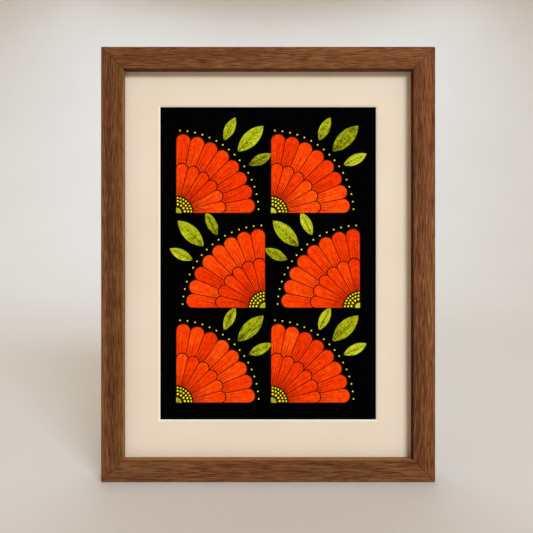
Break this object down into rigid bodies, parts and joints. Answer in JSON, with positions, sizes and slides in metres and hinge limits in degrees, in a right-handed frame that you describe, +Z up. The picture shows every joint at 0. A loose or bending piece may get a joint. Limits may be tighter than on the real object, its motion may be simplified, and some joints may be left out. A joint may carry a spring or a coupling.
{
  "type": "framed print with mat",
  "caption": "Upright framed art print for a wall: mitred walnut moulding, clear glazing, bevelled window mat and print, closed by a backing board under swivelling turn buttons.",
  "frame": {"origin": "the spot in the hanger's middle notch where a wall nail bears, halfway through the plate", "axes": "+Z up as hung, +Y out of the back towards the wall, the picture faces -Y, +X to the right as seen from the front"},
  "size_m": [0.334, 0.0319, 0.435],
  "materials": {
    "walnut": "walnut-brown wood, fine straight grain, matt oil",
    "glazing": "clear picture glass, 2 mm",
    "mat_board": "warm cream mat board with a paler bevelled core",
    "print_paper": "matt art paper printed black, with orange-red and green shapes",
    "mount_board": "white foam-centred board",
    "backing_board": "brown hardboard, matt",
    "zinc_plate": "zinc-plated sheet steel",
    "screw_steel": "plated steel",
    "joiner_steel": "blued spring steel",
    "hanger_plate": "brass-plated sheet steel",
    "bumper_rubber": "clear soft polyurethane"
  },
  "bodies": {
    "frame": {"rail_top": "walnut", "rail_bottom": "walnut", "rail_left": "walnut", "rail_right": "walnut", "corner_joiner_top_right": "joiner_steel", "corner_joiner_right_bottom": "joiner_steel", "corner_joiner_bottom_left": "joiner_steel", "corner_joiner_left_top": "joiner_steel", "glazing": "glazing", "mat_board": "mat_board", "print": "print_paper", "mount_board": "mount_board", "backing_board": "backing_board", "hanger": "hanger_plate", "hanger_screw_left": "screw_steel", "hanger_screw_right": "screw_steel", "wall_bumper_left": "bumper_rubber", "wall_bumper_right": "bumper_rubber", "button_screw_top_left": "screw_steel", "button_screw_top_right": "screw_steel", "button_screw_right_upper": "screw_steel", "button_screw_right_lower": "screw_steel", "button_screw_bottom_right": "screw_steel", "button_screw_bottom_left": "screw_steel", "button_screw_left_lower": "screw_steel", "button_screw_left_upper": "screw_steel"},
    "turn_button_top_left": {"turn_button_top_left": "zinc_plate"},
    "turn_button_top_right": {"turn_button_top_right": "zinc_plate"},
    "turn_button_right_upper": {"turn_button_right_upper": "zinc_plate"},
    "turn_button_right_lower": {"turn_button_right_lower": "zinc_plate"},
    "turn_button_bottom_right": {"turn_button_bottom_right": "zinc_plate"},
    "turn_button_bottom_left": {"turn_button_bottom_left": "zinc_plate"},
    "turn_button_left_lower": {"turn_button_left_lower": "zinc_plate"},
    "turn_button_left_upper": {"turn_button_left_upper": "zinc_plate"}
  },
  "joints": [
    {"name": "turn_button_top_left_swivel", "type": "hinge", "parent": "frame", "child": "turn_button_top_left", "pos_m": [-0.095, -0.0027, 0.0027], "axis": [0, 1, 0], "range_deg": [-90, 90]},
    {"name": "turn_button_top_right_swivel", "type": "hinge", "parent": "frame", "child": "turn_button_top_right", "pos_m": [0.095, -0.0027, 0.0027], "axis": [0, 1, 0], "range_deg": [-90, 90]},
    {"name": "turn_button_right_upper_swivel", "type": "hinge", "parent": "frame", "child": "turn_button_right_upper", "pos_m": [0.155, -0.0027, -0.0778], "axis": [0, 1, 0], "range_deg": [-90, 90]},
    {"name": "turn_button_right_lower_swivel", "type": "hinge", "parent": "frame", "child": "turn_button_right_lower", "pos_m": [0.155, -0.0027, -0.3278], "axis": [0, 1, 0], "range_deg": [-90, 90]},
    {"name": "turn_button_bottom_right_swivel", "type": "hinge", "parent": "frame", "child": "turn_button_bottom_right", "pos_m": [0.095, -0.0027, -0.4083], "axis": [0, 1, 0], "range_deg": [-90, 90]},
    {"name": "turn_button_bottom_left_swivel", "type": "hinge", "parent": "frame", "child": "turn_button_bottom_left", "pos_m": [-0.095, -0.0027, -0.4083], "axis": [0, 1, 0], "range_deg": [-90, 90]},
    {"name": "turn_button_left_lower_swivel", "type": "hinge", "parent": "frame", "child": "turn_button_left_lower", "pos_m": [-0.155, -0.0027, -0.3278], "axis": [0, 1, 0], "range_deg": [-90, 90]},
    {"name": "turn_button_left_upper_swivel", "type": "hinge", "parent": "frame", "child": "turn_button_left_upper", "pos_m": [-0.155, -0.0027, -0.0778], "axis": [0, 1, 0], "range_deg": [-90, 90]}
  ]
}
